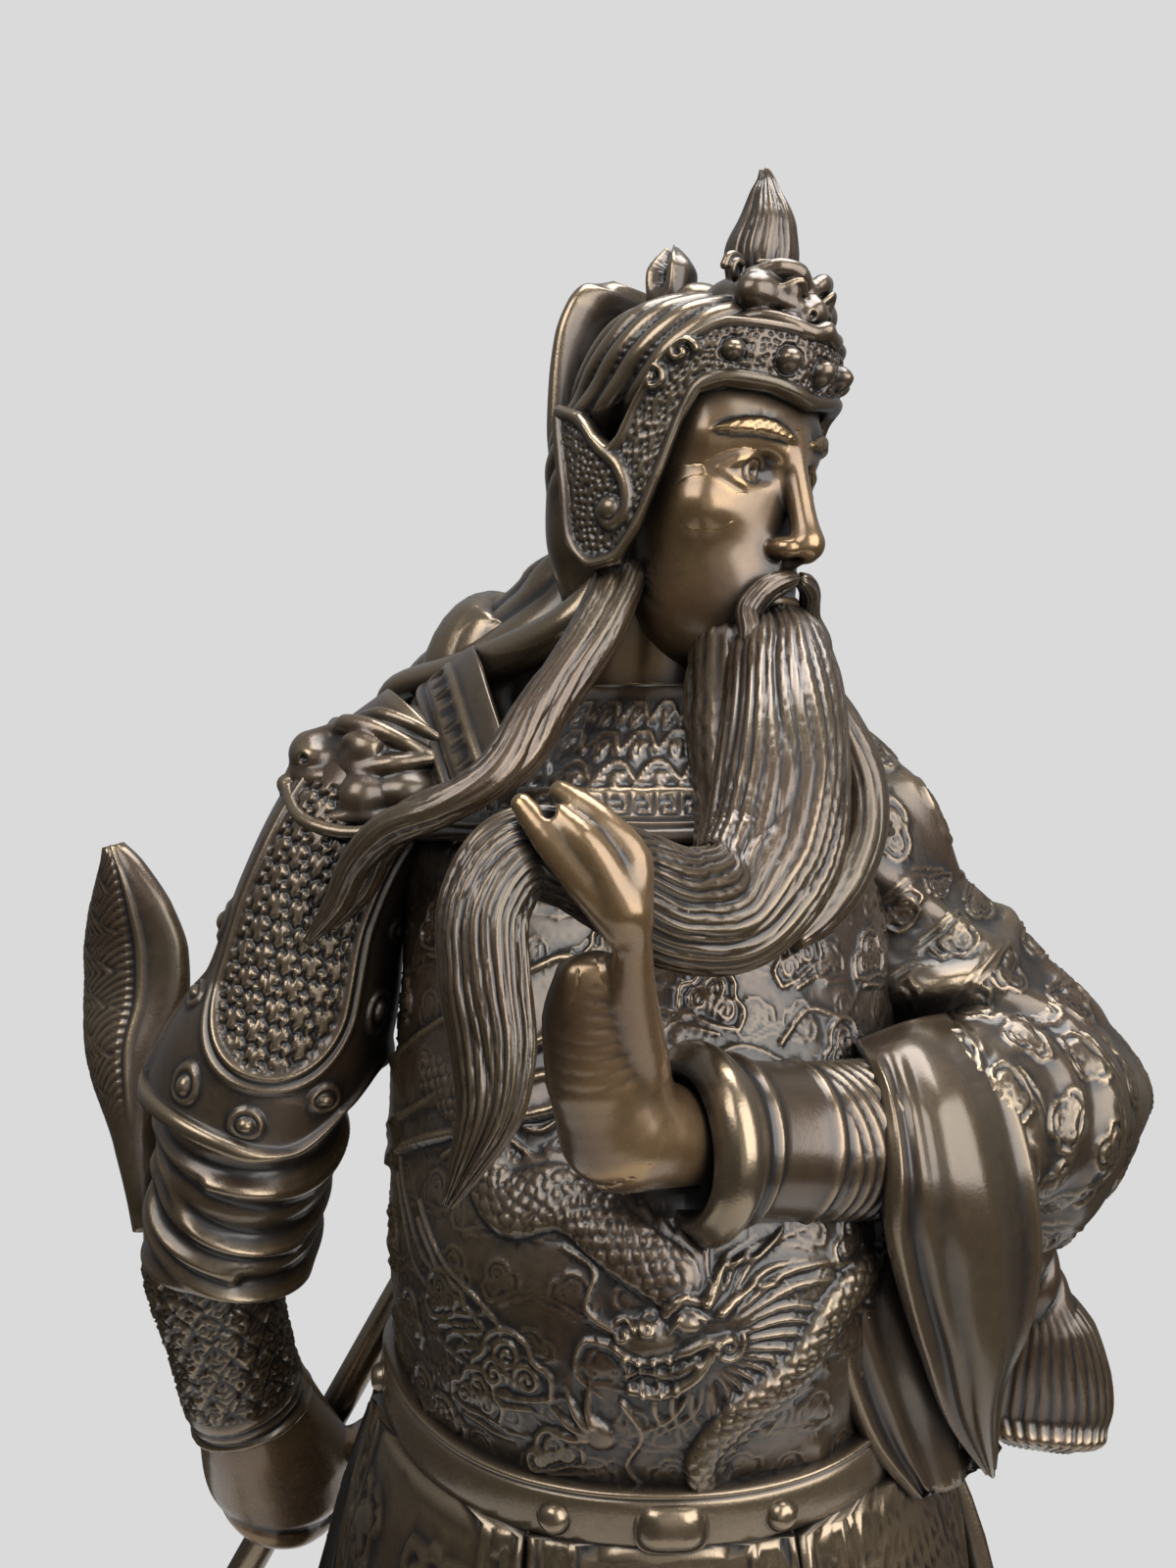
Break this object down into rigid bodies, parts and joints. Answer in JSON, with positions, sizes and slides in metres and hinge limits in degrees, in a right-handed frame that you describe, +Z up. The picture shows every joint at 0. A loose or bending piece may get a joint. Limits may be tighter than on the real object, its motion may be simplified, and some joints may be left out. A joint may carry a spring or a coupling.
{
  "type": "guan yu statue",
  "caption": "Cast bronze statue of a standing long-bearded warrior in court armour, stroking his beard and holding a halberd behind his back, on a low oval plinth.",
  "frame": {"origin": "centre of the plinth's underside", "axes": "+Z up, the figure faces -Y, and its left side is +X"},
  "size_m": [0.3498, 0.2268, 0.6229],
  "materials": {
    "bronze": "brown patinated cast bronze, dark in the carving and rubbed golden on the edges",
    "dark_bronze": "dark brown patinated cast bronze, lightly rubbed on the rims",
    "rubbed_bronze": "brown bronze rod and blade, rubbed paler by handling"
  },
  "bodies": {
    "root": {"figure": "bronze", "plinth": "dark_bronze", "halberd": "rubbed_bronze"}
  },
  "joints": []
}
